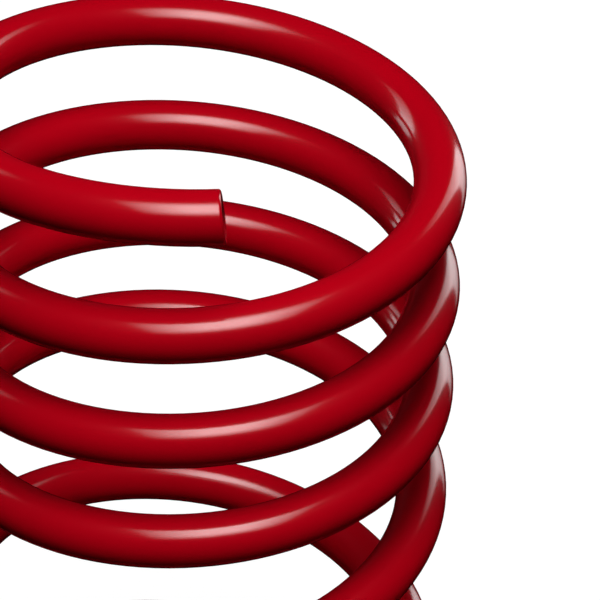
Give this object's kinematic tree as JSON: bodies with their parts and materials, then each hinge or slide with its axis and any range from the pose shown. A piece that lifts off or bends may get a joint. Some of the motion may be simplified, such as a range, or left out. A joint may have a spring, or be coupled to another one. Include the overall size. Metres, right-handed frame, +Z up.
{
  "type": "lowering spring",
  "caption": "Right-hand cylindrical compression spring for lowering a car: close upper coils, wide lower coils and a flat seat turn, in glossy red coated wire.",
  "frame": {"origin": "on the coil's axis, at the height of the surface that the seat turn stands on", "axes": "+Z up along the coil's axis from the seat turn to the upper end; -Y is the front, where the upper tip of the wire shows; +X to the right of the front"},
  "size_m": [0.1224, 0.1226, 0.215],
  "materials": {
    "red_coated_steel": "glossy"
  },
  "bodies": {
    "root": {"spring_coil": "red_coated_steel"}
  },
  "joints": []
}
